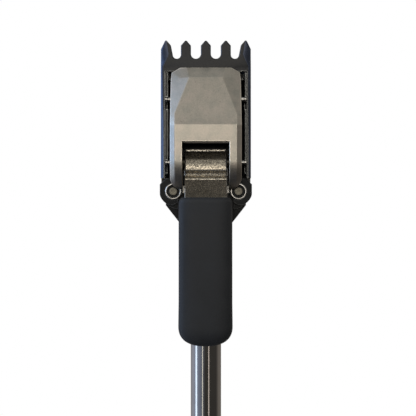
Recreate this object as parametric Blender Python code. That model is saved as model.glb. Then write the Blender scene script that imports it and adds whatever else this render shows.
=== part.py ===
"""Reacher grabber: a comb head and a cam-lever clamp jaw on a round pole.

Metres, +Z up. The pole's axis is the Z axis and its rear end rests at Z = 0. X points right, and the
lever faces -Y. The lever swings out on the pivot pin, and its cam lets the jaw slide down from the comb.
"""

import math

import bmesh
import bpy
from mathutils import Matrix, Vector

MM = 0.001
GAP = 0.3 * MM

# Pole
TUBE_RADIUS = 9.5 * MM
TUBE_WALL = 1.2 * MM
TUBE_TOP = 352 * MM
PLUG_FLANGE = 3 * MM
PLUG_STEM_TOP = 22 * MM
REAR_GRIP_TOP = 115 * MM
REAR_GRIP_RADIUS = 13.5 * MM
REAR_GRIP_RIB_PITCH = 12 * MM

# Comb and side walls
HEAD_HALF_WIDTH = 27.26 * MM
HEAD_FRONT = -18 * MM
HEAD_BACK = -2 * MM
BAND_THICKNESS = 3 * MM
BAND_BOTTOM = 441.4 * MM
SLOT_BOTTOM = 449.05 * MM
SLOT_RADIUS = 3.0 * MM
SLOT_LEAN = 1.1 * MM
PRONG_PITCH = 12.06 * MM
INNER_SHOULDER = 457 * MM
OUTER_SHOULDER = 455.3 * MM
TIP_HEIGHT = 460 * MM
WALL_INNER_FRONT = 24.8 * MM
WALL_INNER_BACK = 22.2 * MM
WALL_BOTTOM = 361 * MM
WALL_TOP = 454 * MM
WALL_FOOT_CUT = [(27.9 * MM, 367.6 * MM), (22.4 * MM, 360.9 * MM), (22.4 * MM, 350 * MM), (40 * MM, 350 * MM)]
PRONG_CUT = (452 * MM, 445 * MM)
CORNER_LEVELS = [(340, 1.6, 1.6), (444.6, 1.6, 1.6), (451, 4.3, 2.4), (465, 4.3, 2.4)]
TIP_HALF_WIDTH = 0.6 * MM
LAP_HEIGHT = 377 * MM
LAP_FRONT = -12 * MM
BRIDGE_FRONT = -7.8 * MM
BRIDGE_BACK = -2.4 * MM
BRIDGE_BOTTOM = 438 * MM
BRIDGE_HALF_WIDTH = 23 * MM

# Back plate
PLATE_FRONT = HEAD_BACK + GAP
PLATE_BACK = PLATE_FRONT + 3 * MM
PLATE_HALF_WIDTH = 27.0 * MM
PLATE_BOTTOM = 362 * MM
PLATE_TOP = 446 * MM
PLATE_CLIP = 3 * MM
PLATE_SCREWS = [(24.4 * MM, 367 * MM), (24.4 * MM, 440 * MM)]
ANVIL_SCREW = (8 * MM, 367 * MM)
BACK_SHANK_RADIUS = 0.9 * MM
BACK_SHANK_HOLE = BACK_SHANK_RADIUS + GAP
BACK_HEAD_RADIUS = 1.9 * MM
BACK_HEAD_SEAT = PLATE_BACK - 1.7 * MM
BACK_SCREW_END = -8 * MM

# Jaw, which slides along Z on two pins in slotted walls
STROKE = 5 * MM
PIN_DEPTH = -13.5 * MM
PIVOT_HEIGHT = 386.6 * MM
GUIDE_HEIGHT = 425 * MM
PIN_RADIUS = 1.5 * MM
PIN_HALF_LENGTH = 27 * MM
BUSH_RADIUS = 2.3 * MM
TRACK_RADIUS = 2.7 * MM
JAW_HALF_WIDTH = 21 * MM
JAW_FACE_HALF = 18.2 * MM
JAW_FRONT = -34 * MM
JAW_BACK = -8.5 * MM
JAW_SHOULDER = 438 * MM
JAW_WALL = 2.6 * MM
CREASE_HEIGHT = 407.4 * MM
LEG_RADIUS = 17 * MM
LEG_BACK = -20.7 * MM
LEG_RELIEF_TOP = 382.3 * MM
NOTCH_HALF_WIDTH = 13.75 * MM
NOTCH_TOP = 397.5 * MM
SHELF = (417.5 * MM, 420.5 * MM)
SHELF_HALF_WIDTH = 19 * MM
SHELF_FRONT = -28.5 * MM
SHELF_BACK = -2.7 * MM
PAD_HALF_WIDTH = 19.5 * MM
PAD_BACK = -9 * MM
PAD_TOP = 441 * MM
BUSH_REACH = (23.6 * MM, 26.9 * MM)
SPACER_RADIUS = 3.6 * MM

# Lever
BARREL_RADIUS = 7.2 * MM
BARREL_HALF_WIDTH = 12.45 * MM
BARREL_NOSE = 11 * MM
CAM_HIGH = 11 * MM
CAM_LOW = CAM_HIGH - STROKE
ARM_HALF_WIDTH = 12.85 * MM
ARM_FRONT = -23.2 * MM
ARM_BACK = -17.5 * MM
ARM_TOP = 377.9 * MM
GRIP_TOP = 365.2 * MM
GRIP_BOTTOM = 277.1 * MM
GRIP_HALF_WIDTH = 16.2 * MM
GRIP_FRONT = -30.5 * MM
GRIP_BACK = -14.5 * MM
TANG_HALF_WIDTH = 10 * MM
TANG_FRONT = -22.4 * MM
TANG_BACK = -18 * MM
TANG_BOTTOM = 290 * MM

# Socket, lugs and anvil
SOCKET_BORE = TUBE_RADIUS + GAP
COLLAR_RADIUS = 12 * MM
COLLAR_BOTTOM = 322 * MM
TAPER_TOP = 360.6 * MM
TAPER_HALF_WIDTH = 24.4 * MM
TAPER_FRONT = -13.9 * MM
LUG_FRONT = -19 * MM
LUG_BACK = -12.3 * MM
EYELET = (19.65 * MM, 368.9 * MM)
EYELET_RADIUS = 4.8 * MM
EYELET_WALL = 0.9 * MM
COUNTERBORE_DEPTH = 1 * MM
LUG_SCREW_RADIUS = 1.5 * MM
LUG_SCREW_HEAD = 2.5 * MM
LUG_SCREW_END = -4.5 * MM
TUBE_PIN_HEIGHT = 333 * MM
ANVIL_HALF_WIDTH = 21.6 * MM
ANVIL_FRONT = -11.9 * MM
ANVIL_BACK = -2.1 * MM
ANVIL_BASE = (361.2 * MM, 372.5 * MM)
NOSE_HALF_WIDTH = 11 * MM
NOSE_FRONT = -16.9 * MM
NOSE_BOTTOM = 366.5 * MM
ANVIL_TOP = PIVOT_HEIGHT - CAM_HIGH - GAP

# Return springs
SPRING_X = 9 * MM
SPRING_Y = -5.1 * MM
SPRING_TOP = BRIDGE_BOTTOM - GAP
SPRING_BOTTOM = SHELF[1] + GAP
SPRING_RADIUS = 2.1 * MM
WIRE_RADIUS = 0.4 * MM
SPRING_TURNS = 5
ROD_RADIUS = 1.1 * MM
ROD_BOTTOM = 411 * MM
ROD_HEAD_RADIUS = 2.3 * MM
ROD_HEAD_HEIGHT = 1.6 * MM
FAR = 40 * MM

PIVOT = Vector((0, PIN_DEPTH, PIVOT_HEIGHT))
GUIDE = Vector((0, PIN_DEPTH, GUIDE_HEIGHT))
ORIGIN = Vector((0, 0, 0))


def clear_scene():
    for item in list(bpy.data.objects):
        bpy.data.objects.remove(item, do_unlink=True)


def principled(name, colour, roughness, metallic):
    material = bpy.data.materials.new(name)
    material.use_nodes = True
    shader = material.node_tree.nodes["Principled BSDF"]
    shader.inputs["Base Color"].default_value = (*colour, 1)
    shader.inputs["Roughness"].default_value = roughness
    shader.inputs["Metallic"].default_value = metallic
    return material


# ---- shapes -------------------------------------------------------------------------------------


def along(axis, a, b, level):
    """A point of a flat outline, put at a level along the axis that the outline faces."""
    return {"X": (level, a, b), "Y": (a, level, b), "Z": (a, b, level)}[axis]


def solid_between(rows):
    """A closed body through rows of points, with a flat face over each end."""
    shape = bmesh.new()
    rings = [[shape.verts.new(point) for point in row] for row in rows]
    count = len(rings[0])
    for lower, upper in zip(rings, rings[1:]):
        for i in range(count):
            j = (i + 1) % count
            shape.faces.new((lower[i], lower[j], upper[j], upper[i]))
    shape.faces.new(rings[0][::-1])
    shape.faces.new(rings[-1])
    bmesh.ops.recalc_face_normals(shape, faces=shape.faces)
    return shape


def extruded(outline, axis, low, high):
    return solid_between([[along(axis, a, b, level) for a, b in outline] for level in (low, high)])


def block(x, y, z):
    outline = [(x[0], y[0]), (x[1], y[0]), (x[1], y[1]), (x[0], y[1])]
    return extruded(outline, "Z", z[0], z[1])


def arc(centre, radius, start, end, steps):
    """Points on an arc. Angles are in degrees, from the first axis towards the second."""
    turns = [math.radians(start + (end - start) * i / steps) for i in range(steps + 1)]
    return [(centre[0] + radius * math.cos(t), centre[1] + radius * math.sin(t)) for t in turns]


def circle(centre, radius, steps):
    return arc(centre, radius, 0, 360, steps)[:-1]


def round_bar(axis, centre, radius, low, high, steps=24):
    return extruded(circle(centre, radius, steps), axis, low, high)


def track(centre, low, high, radius, steps=8):
    """A long hole's outline, from its lowest point to its highest."""
    top = arc((centre, high - radius), radius, 0, 180, steps)
    bottom = arc((centre, low + radius), radius, 180, 360, steps)
    return top + bottom


def mirrored(outline):
    return [(-a, b) for a, b in reversed(outline)]


def turned(profile, steps):
    """A body turned about the Z axis, from (radius, height) points that close on themselves."""
    shape = bmesh.new()
    points = [shape.verts.new((radius, 0, height)) for radius, height in profile]
    edges = [shape.edges.new((a, b)) for a, b in zip(points, points[1:] + points[:1])]
    bmesh.ops.spin(
        shape, geom=points + edges, axis=(0, 0, 1), cent=(0, 0, 0),
        angle=math.tau, steps=steps, use_merge=True,
    )
    bmesh.ops.remove_doubles(shape, verts=shape.verts, dist=1e-6)
    bmesh.ops.recalc_face_normals(shape, faces=shape.faces)
    return shape


def ring(axis, centre, outer, inner, low, high, steps=24):
    """A short sleeve along an axis."""
    shape = turned([(inner, low), (outer, low), (outer, high), (inner, high)], steps=steps)
    turn = {"X": Matrix.Rotation(math.pi / 2, 4, "Y"), "Y": Matrix.Rotation(-math.pi / 2, 4, "X")}
    bmesh.ops.transform(shape, matrix=turn.get(axis, Matrix()), verts=shape.verts)
    bmesh.ops.translate(shape, verts=shape.verts, vec=along(axis, *centre, 0))
    return shape


# ---- objects ------------------------------------------------------------------------------------


def piece(name, shape, material, origin=ORIGIN, sharp=35):
    """A named object whose origin sits on its joint's axis."""
    bmesh.ops.translate(shape, verts=shape.verts, vec=-origin)
    mesh = bpy.data.meshes.new(name)
    shape.to_mesh(mesh)
    shape.free()
    mesh.materials.append(material)
    mesh.shade_smooth()
    mesh.set_sharp_from_angle(angle=math.radians(sharp))
    item = bpy.data.objects.new(name, mesh)
    item.location = origin
    bpy.context.scene.collection.objects.link(item)
    return item


def tool(shape, name):
    """A hidden body that a Boolean adds or takes away."""
    mesh = bpy.data.meshes.new(name)
    shape.to_mesh(mesh)
    shape.free()
    item = bpy.data.objects.new(name, mesh)
    item.hide_render = True
    item.display_type = "WIRE"
    bpy.context.scene.collection.objects.link(item)
    return item


def combine(item, operation, shapes):
    for number, shape in enumerate(shapes, 1):
        change = item.modifiers.new(f"{operation.lower()} {number}", "BOOLEAN")
        change.operation = operation
        change.solver = "EXACT"
        change.object = tool(shape, f"{item.name}_{operation.lower()}_{number}")


# ---- pole ---------------------------------------------------------------------------------------


def make_tube(chrome):
    inner = TUBE_RADIUS - TUBE_WALL
    low = PLUG_FLANGE + GAP
    profile = [(inner, low), (TUBE_RADIUS, low), (TUBE_RADIUS, TUBE_TOP), (inner, TUBE_TOP)]
    tube = piece("tube", turned(profile, steps=40), chrome)
    hole = round_bar("X", (0, TUBE_PIN_HEIGHT), PIN_RADIUS + GAP, -FAR, FAR, 16)
    combine(tube, "DIFFERENCE", [hole])


def make_rear_grip(rubber):
    """A sleeve with shallow grip ribs, open at both ends."""
    low = PLUG_FLANGE + GAP
    bore = TUBE_RADIUS + GAP
    valley = REAR_GRIP_RADIUS - 1.2 * MM
    profile = [(bore, low), (REAR_GRIP_RADIUS, low)]
    ribs = int((REAR_GRIP_TOP - low) / REAR_GRIP_RIB_PITCH) - 1
    for number in range(1, ribs + 1):
        middle = low + number * REAR_GRIP_RIB_PITCH
        profile += [
            (REAR_GRIP_RADIUS, middle - 1.8 * MM), (valley, middle - 0.8 * MM),
            (valley, middle + 0.8 * MM), (REAR_GRIP_RADIUS, middle + 1.8 * MM),
        ]
    profile += [(REAR_GRIP_RADIUS, REAR_GRIP_TOP - 2 * MM), (valley, REAR_GRIP_TOP), (bore, REAR_GRIP_TOP)]
    piece("rear_grip", turned(profile, steps=24), rubber)


def make_end_plug(nylon):
    stem = TUBE_RADIUS - TUBE_WALL - GAP
    profile = [
        (0, 0), (REAR_GRIP_RADIUS - 1 * MM, 0), (REAR_GRIP_RADIUS - 0.4 * MM, 0.6 * MM),
        (REAR_GRIP_RADIUS - 0.4 * MM, PLUG_FLANGE), (stem, PLUG_FLANGE), (stem, PLUG_STEM_TOP),
        (0, PLUG_STEM_TOP),
    ]
    piece("end_plug", turned(profile, steps=28), nylon)


def make_tube_pin(steel):
    half = COLLAR_RADIUS - 0.1 * MM
    piece("tube_pin", round_bar("X", (0, TUBE_PIN_HEIGHT), PIN_RADIUS, -half, half, 16), steel)


# ---- head ---------------------------------------------------------------------------------------


def comb_outline():
    """The band with five prongs, in X and Z, from the lower right corner. The outer slots lean outward."""
    prong_half = PRONG_PITCH / 2 - SLOT_RADIUS
    outline = [(HEAD_HALF_WIDTH, BAND_BOTTOM), (HEAD_HALF_WIDTH, OUTER_SHOULDER)]
    for number in (2, 1, 0, -1, -2):
        middle = number * PRONG_PITCH
        if number < 2:
            outline.append((middle + prong_half, INNER_SHOULDER))
        outline += [(middle + TIP_HALF_WIDTH, TIP_HEIGHT), (middle - TIP_HALF_WIDTH, TIP_HEIGHT)]
        if number > -2:
            outline.append((middle - prong_half, INNER_SHOULDER))
            narrow = SLOT_LEAN / 2 if number in (2, -1) else 0
            shift = -narrow if number == 2 else narrow
            radius = SLOT_RADIUS - narrow
            outline += arc((middle - PRONG_PITCH / 2 + shift, SLOT_BOTTOM + radius), radius, 0, -180, 10)
    return outline + [(-HEAD_HALF_WIDTH, OUTER_SHOULDER), (-HEAD_HALF_WIDTH, BAND_BOTTOM)]


def wall_section(side):
    """A side wall in X and Y. Its inner face is drafted, so that it is thicker at the back."""
    outline = [
        (HEAD_HALF_WIDTH, HEAD_FRONT), (HEAD_HALF_WIDTH, HEAD_BACK),
        (WALL_INNER_BACK, HEAD_BACK), (WALL_INNER_FRONT, HEAD_FRONT),
    ]
    return outline if side > 0 else mirrored(outline)


def wall_cuts(side):
    """What is cut from the wall's long bar: behind the outer prong, at the lap joint and at its foot."""
    reach = sorted((side * 15 * MM, side * FAR))
    above = TIP_HEIGHT + 10 * MM
    top = [
        (HEAD_FRONT + BAND_THICKNESS, above), (HEAD_FRONT + BAND_THICKNESS, PRONG_CUT[0]),
        (HEAD_BACK - 1 * MM, PRONG_CUT[1]), (5 * MM, PRONG_CUT[1]), (5 * MM, above),
    ]
    lap = [(-FAR, 340 * MM), (LAP_FRONT, 340 * MM), (LAP_FRONT, LAP_HEIGHT), (-FAR, LAP_HEIGHT)]
    foot = WALL_FOOT_CUT if side > 0 else mirrored(WALL_FOOT_CUT)
    return [extruded(top, "X", *reach), extruded(lap, "X", *reach), extruded(foot, "Y", -FAR, FAR)]


def corner_chamfer(side):
    """A cutter down the front outer corner. It widens into the outer prong's bevelled face."""
    rows = []
    spare = 3 * MM
    for height, width, depth in CORNER_LEVELS:
        inner, outer = HEAD_HALF_WIDTH - width * MM, HEAD_HALF_WIDTH + spare
        section = [
            (inner, HEAD_FRONT), (HEAD_HALF_WIDTH, HEAD_FRONT + depth * MM),
            (outer, HEAD_FRONT + depth * MM), (outer, HEAD_FRONT - spare), (inner, HEAD_FRONT - spare),
        ]
        rows.append([(side * x, y, height * MM) for x, y in section])
    return solid_between(rows)


def make_comb_frame(coat):
    back = HEAD_FRONT + BAND_THICKNESS
    frame = piece("comb_frame", extruded(comb_outline(), "Y", HEAD_FRONT, back), coat)
    combine(frame, "UNION", [
        extruded(wall_section(1), "Z", WALL_BOTTOM, WALL_TOP),
        extruded(wall_section(-1), "Z", WALL_BOTTOM, WALL_TOP),
        block(
            (-BRIDGE_HALF_WIDTH, BRIDGE_HALF_WIDTH), (BRIDGE_FRONT, BRIDGE_BACK), (BRIDGE_BOTTOM, BAND_BOTTOM)
        ),
    ])
    cuts = []
    for side in (1, -1):
        cuts += wall_cuts(side)
        cuts.append(corner_chamfer(side))
        reach = sorted((side * 21.5 * MM, side * FAR))
        for height in (PIVOT_HEIGHT, GUIDE_HEIGHT):
            low = height - STROKE - TRACK_RADIUS - GAP
            high = height + TRACK_RADIUS + GAP
            cuts.append(extruded(track(PIN_DEPTH, low, high, TRACK_RADIUS), "X", *reach))
        for x, height in PLATE_SCREWS:
            cuts.append(back_screw_hole(side * x, height))
        cuts.append(round_bar("Z", (side * SPRING_X, SPRING_Y), ROD_RADIUS + GAP, 430 * MM, 445 * MM, 16))
    combine(frame, "DIFFERENCE", cuts)


def back_screw_hole(x, height):
    return round_bar("Y", (x, height), BACK_SHANK_HOLE, BACK_SCREW_END - GAP, PLATE_BACK + 1 * MM, 12)


def make_back_plate(coat):
    right = [
        (PLATE_HALF_WIDTH - PLATE_CLIP, PLATE_BOTTOM), (PLATE_HALF_WIDTH, PLATE_BOTTOM + PLATE_CLIP),
        (PLATE_HALF_WIDTH, PLATE_TOP - PLATE_CLIP), (PLATE_HALF_WIDTH - PLATE_CLIP, PLATE_TOP),
    ]
    plate = piece("back_plate", extruded(right + mirrored(right), "Y", PLATE_FRONT, PLATE_BACK), coat)
    holes = []
    for side in (1, -1):
        for x, height in PLATE_SCREWS + [ANVIL_SCREW]:
            centre = (side * x, height)
            holes.append(back_screw_hole(*centre))
            sink = BACK_HEAD_SEAT - GAP
            holes.append(round_bar("Y", centre, BACK_HEAD_RADIUS + GAP, sink, PLATE_BACK + 1 * MM, 20))
    combine(plate, "DIFFERENCE", holes)


def screw_from_behind(name, x, height, steel):
    """A cap screw whose head is sunk in the back plate, so that the plate's back stays flat."""
    top = PLATE_BACK - 0.1 * MM
    screw = piece(name, round_bar("Y", (x, height), BACK_HEAD_RADIUS, BACK_HEAD_SEAT, top, 20), steel)
    shank = round_bar("Y", (x, height), BACK_SHANK_RADIUS, BACK_SCREW_END, BACK_HEAD_SEAT + 0.5 * MM, 12)
    combine(screw, "UNION", [shank])
    socket = extruded(circle((x, height), 0.9 * MM, 6), "Y", top - 0.8 * MM, top + 1 * MM)
    combine(screw, "DIFFERENCE", [socket])


def lug_outline():
    """The right lug in X and Z. Its inner edge leaves room for the lever's grip."""
    return [
        (24.0 * MM, 376.6 * MM), (14.2 * MM, 376.6 * MM), (14.2 * MM, 367.4 * MM),
        (16.9 * MM, 365.4 * MM), (16.9 * MM, 362.4 * MM), (18.6 * MM, 361.3 * MM),
        (20.2 * MM, 359 * MM), (22.6 * MM, 360.4 * MM), (25.9 * MM, 363.4 * MM),
        (27.75 * MM, 366.8 * MM), (27.75 * MM, 373.2 * MM),
    ]


def web_outline():
    """The flat front of the taper, which rises behind each lug."""
    right = [
        (12 * MM, 345 * MM), (16.1 * MM, 350 * MM), (TAPER_HALF_WIDTH, 360.6 * MM),
        (TAPER_HALF_WIDTH, 368 * MM), (12.5 * MM, 368 * MM), (12.5 * MM, 360 * MM), (8 * MM, 357 * MM),
    ]
    return right + mirrored(right)


def make_socket(nylon):
    collar = round_bar("Z", (0, 0), COLLAR_RADIUS, COLLAR_BOTTOM, 350 * MM, 36)
    socket = piece("pole_socket", collar, nylon)
    steps = 36
    lower = [(x, y, 343 * MM) for x, y in circle((0, 0), COLLAR_RADIUS - 0.05 * MM, steps)]
    upper = []
    for number in range(steps):
        turn = math.tau * number / steps
        scale = 1 / max(abs(math.cos(turn)), abs(math.sin(turn)))
        x = math.cos(turn) * scale * (TAPER_HALF_WIDTH - 0.4 * MM)
        y = math.sin(turn) * scale * 11 * MM
        upper.append((x, max(y, TAPER_FRONT + 0.4 * MM), TAPER_TOP))
    web = extruded(web_outline(), "Y", TAPER_FRONT, LUG_BACK + 0.2 * MM)
    joint = extruded(web_outline()[:3] + mirrored(web_outline()[:3]), "Y", TAPER_FRONT, -8 * MM)
    lugs = [extruded(lug_outline(), "Y", LUG_FRONT, LUG_BACK)]
    lugs.append(extruded(mirrored(lug_outline()), "Y", LUG_FRONT, LUG_BACK))
    combine(socket, "UNION", [solid_between([lower, upper]), joint, web] + lugs)
    cuts = [
        round_bar("Z", (0, 0), SOCKET_BORE, 310 * MM, TUBE_TOP + 1 * MM, 40),
        round_bar("X", (0, TUBE_PIN_HEIGHT), PIN_RADIUS + GAP, -FAR, FAR, 16),
    ]
    for side in (1, -1):
        centre = (side * EYELET[0], EYELET[1])
        cuts.append(round_bar("Y", centre, EYELET_RADIUS + GAP, -FAR, LUG_FRONT + COUNTERBORE_DEPTH, 28))
        cuts.append(round_bar("Y", centre, LUG_SCREW_RADIUS + GAP, -FAR, LUG_SCREW_END, 16))
    combine(socket, "DIFFERENCE", cuts)


def make_lug_fittings(side, label, steel):
    centre = (side * EYELET[0], EYELET[1])
    seat = LUG_FRONT + COUNTERBORE_DEPTH - GAP
    inner = EYELET_RADIUS - EYELET_WALL
    eyelet = ring("Y", centre, EYELET_RADIUS, inner, LUG_FRONT - 0.5 * MM, seat, 32)
    piece(f"lug_eyelet_{label}", eyelet, steel)
    top = LUG_FRONT - 0.4 * MM
    screw = piece(f"lug_screw_{label}", round_bar("Y", centre, LUG_SCREW_HEAD, top, seat, 20), steel)
    shank = round_bar("Y", centre, LUG_SCREW_RADIUS, top + 0.6 * MM, LUG_SCREW_END, 16)
    combine(screw, "UNION", [shank])
    socket = extruded(circle(centre, 1.25 * MM, 6), "Y", top - 1 * MM, top + 0.5 * MM)
    combine(screw, "DIFFERENCE", [socket])


def make_anvil(steel):
    """The cross block that the lever's cam bears on. The lugs are screwed to its ends."""
    base = block((-ANVIL_HALF_WIDTH, ANVIL_HALF_WIDTH), (ANVIL_FRONT, ANVIL_BACK), ANVIL_BASE)
    anvil = piece("cam_anvil", base, steel)
    nose = block((-NOSE_HALF_WIDTH, NOSE_HALF_WIDTH), (NOSE_FRONT, -6 * MM), (NOSE_BOTTOM, ANVIL_TOP))
    combine(anvil, "UNION", [nose])
    holes = []
    for side in (1, -1):
        holes.append(round_bar("Y", (side * EYELET[0], EYELET[1]), LUG_SCREW_RADIUS + GAP, -FAR, -4 * MM, 16))
        holes.append(back_screw_hole(side * ANVIL_SCREW[0], ANVIL_SCREW[1]))
    combine(anvil, "DIFFERENCE", holes)


def make_spring(side, label, steel):
    """A compression spring: a six-sided wire swept along a coil, and the rod that it runs on."""
    sides = 6
    per_turn = 16
    usable = SPRING_TOP - SPRING_BOTTOM - 2 * WIRE_RADIUS
    count = SPRING_TURNS * per_turn
    rows = []
    for number in range(count + 1):
        turn = math.tau * number / per_turn
        height = SPRING_BOTTOM + WIRE_RADIUS + usable * number / count
        outward = Vector((math.cos(turn), math.sin(turn), 0))
        centre = Vector((side * SPRING_X, SPRING_Y, height)) + outward * SPRING_RADIUS
        row = []
        for corner in range(sides):
            angle = math.tau * corner / sides
            offset = outward * math.cos(angle) + Vector((0, 0, math.sin(angle)))
            row.append(centre + offset * WIRE_RADIUS)
        rows.append(row)
    piece(f"return_spring_{label}", solid_between(rows), steel)
    top = BAND_BOTTOM + GAP
    centre = (side * SPRING_X, SPRING_Y)
    rod = round_bar("Z", centre, ROD_RADIUS, ROD_BOTTOM, top + ROD_HEAD_HEIGHT / 2, 16)
    head = round_bar("Z", centre, ROD_HEAD_RADIUS, top, top + ROD_HEAD_HEIGHT, 20)
    combine(piece(f"spring_rod_{label}", head, steel), "UNION", [rod])


# ---- jaw ----------------------------------------------------------------------------------------


def jaw_rows(inset):
    """Rows of the jaw's six-sided section, from the leg ends up. The inset gives the hollow inside."""
    back = JAW_BACK + (20 * MM if inset else 0)
    radius = LEG_RADIUS - inset
    rows = []

    def row(face_half, face_y, side_half, side_y, face_z, side_z=None):
        side_z = face_z if side_z is None else side_z
        right = [(side_half, back, side_z), (side_half, side_y, side_z), (face_half, face_y, face_z)]
        rows.append([(-x, y, z) for x, y, z in right] + right[::-1])

    face = JAW_FACE_HALF - 0.6 * inset
    side = JAW_HALF_WIDTH - inset
    for y, z in arc((JAW_FRONT + LEG_RADIUS, PIVOT_HEIGHT), radius, 256, 180, 7):
        row(face, y, side, y + 2 * MM * (JAW_FRONT + LEG_RADIUS - y) / radius, z)
    row(face, JAW_FRONT + inset, side, JAW_FRONT + inset + 2 * MM, CREASE_HEIGHT)
    row(face, JAW_FRONT + inset + 2 * MM, side, JAW_FRONT + inset + 4 * MM, 414.2 * MM)
    if inset:
        row(8.4 * MM, -25 * MM, side, -18.7 * MM, 431.5 * MM)
    else:
        row(9.8 * MM, -27 * MM, side, -20.6 * MM, 436.2 * MM)
        row(15.4 * MM, -20.2 * MM, side - 0.4 * MM, -19.3 * MM, 443.3 * MM, 440.5 * MM)
    return rows


def make_jaw(cast):
    jaw = piece("clamp_jaw", solid_between(jaw_rows(0)), cast, GUIDE, sharp=20)
    combine(jaw, "DIFFERENCE", [
        solid_between(jaw_rows(JAW_WALL)),
        block((-FAR, FAR), (HEAD_FRONT - 0.5 * MM, FAR), (JAW_SHOULDER, TIP_HEIGHT)),
        block((-FAR, FAR), (LEG_BACK, FAR), (340 * MM, LEG_RELIEF_TOP)),
        block((-NOTCH_HALF_WIDTH, NOTCH_HALF_WIDTH), (-FAR, -19 * MM), (340 * MM, NOTCH_TOP)),
        round_bar("X", (PIN_DEPTH, PIVOT_HEIGHT), PIN_RADIUS + GAP, -FAR, FAR, 20),
    ])
    shelf = block((-SHELF_HALF_WIDTH, SHELF_HALF_WIDTH), (SHELF_FRONT, SHELF_BACK), SHELF)
    combine(jaw, "UNION", [shelf])
    holes = [round_bar("X", (PIN_DEPTH, GUIDE_HEIGHT), PIN_RADIUS + GAP, -FAR, FAR, 20)]
    for side in (-1, 1):
        holes.append(round_bar("Z", (side * SPRING_X, SPRING_Y), ROD_RADIUS + GAP, 410 * MM, 430 * MM, 16))
    combine(jaw, "DIFFERENCE", holes)


def make_jaw_fittings(rubber, steel):
    deep = (HEAD_FRONT + 0.1 * MM, PAD_BACK)
    pad = block((-PAD_HALF_WIDTH, PAD_HALF_WIDTH), deep, (JAW_SHOULDER + GAP, PAD_TOP))
    piece("jaw_pad", pad, rubber, GUIDE)
    for name, centre in (("guide_pin", GUIDE), ("pivot_pin", PIVOT)):
        pin = round_bar("X", (centre.y, centre.z), PIN_RADIUS, -PIN_HALF_LENGTH, PIN_HALF_LENGTH, 20)
        piece(name, pin, steel, centre)
    for label, side in (("left", -1), ("right", 1)):
        reach = sorted(side * end for end in BUSH_REACH)
        for level, centre in (("upper", GUIDE), ("lower", PIVOT)):
            shape = ring("X", (centre.y, centre.z), BUSH_RADIUS, PIN_RADIUS + GAP, *reach, 20)
            piece(f"guide_bush_{level}_{label}", shape, steel, centre)
        reach = sorted((side * (BARREL_HALF_WIDTH + GAP), side * (JAW_HALF_WIDTH - JAW_WALL - GAP)))
        shape = ring("X", (PIVOT.y, PIVOT.z), SPACER_RADIUS, PIN_RADIUS + GAP, *reach, 20)
        piece(f"pivot_spacer_{label}", shape, steel, PIVOT)


# ---- lever --------------------------------------------------------------------------------------


def cam_outline():
    """The barrel in Y and Z, drawn out to the front, with the cam from straight down round to the back.

    The cam's lift falls evenly by the stroke over a quarter turn, so it stays on the anvil's flat top.
    Each point stands on the line of its lift, and is set off along that line by the lift's slope.
    """
    steps = 16
    slope = -STROKE / (math.pi / 2)
    outline = [(ARM_BACK - 1 * MM, PIVOT.z - CAM_HIGH)]
    for number in range(steps + 1):
        turn = math.pi / 2 * number / steps
        lift = CAM_HIGH + slope * turn
        outline.append((
            PIVOT.y + lift * math.sin(turn) + slope * math.cos(turn),
            PIVOT.z - lift * math.cos(turn) + slope * math.sin(turn),
        ))
    flat_end = math.degrees(math.acos(CAM_LOW / BARREL_RADIUS))
    outline += arc((PIVOT.y, PIVOT.z), BARREL_RADIUS, flat_end, 90, 7)
    for number in range(1, 13):
        turn = math.radians(90 + 10 * number)
        outline.append((PIVOT.y + BARREL_NOSE * math.cos(turn), PIVOT.z + BARREL_RADIUS * math.sin(turn)))
    return outline


def make_lever(cast):
    barrel = extruded(cam_outline(), "X", -BARREL_HALF_WIDTH, BARREL_HALF_WIDTH)
    lever = piece("lever", barrel, cast, PIVOT)
    arm = [
        (ARM_BACK, GRIP_TOP), (ARM_BACK, PIVOT.z - 4 * MM), (ARM_BACK - 2.4 * MM, PIVOT.z - 4 * MM),
        (ARM_FRONT + 1 * MM, ARM_TOP), (ARM_FRONT, ARM_TOP - 1 * MM), (ARM_FRONT, GRIP_TOP),
    ]
    tang = block(
        (-TANG_HALF_WIDTH, TANG_HALF_WIDTH), (TANG_FRONT, TANG_BACK), (TANG_BOTTOM, GRIP_TOP + 2 * MM)
    )
    combine(lever, "UNION", [extruded(arm, "X", -ARM_HALF_WIDTH, ARM_HALF_WIDTH), tang])
    pin = round_bar("X", (PIVOT.y, PIVOT.z), PIN_RADIUS + GAP, -FAR, FAR, 20)
    combine(lever, "DIFFERENCE", [pin])


def grip_section(height, spread):
    """A rounded rectangle in X and Y at one height. Spread is how much of the full size it has."""
    middle = (GRIP_FRONT + GRIP_BACK) / 2
    half_x = GRIP_HALF_WIDTH - spread
    half_y = (GRIP_BACK - GRIP_FRONT) / 2 - spread * 0.6
    corner = 4.5 * MM
    points = []
    for x, y, start in ((1, 1, 0), (-1, 1, 90), (-1, -1, 180), (1, -1, 270)):
        centre = (x * (half_x - corner), middle + y * (half_y - corner))
        points += arc(centre, corner, start, start + 90, 5)
    return [(x, y, height) for x, y in points]


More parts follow.
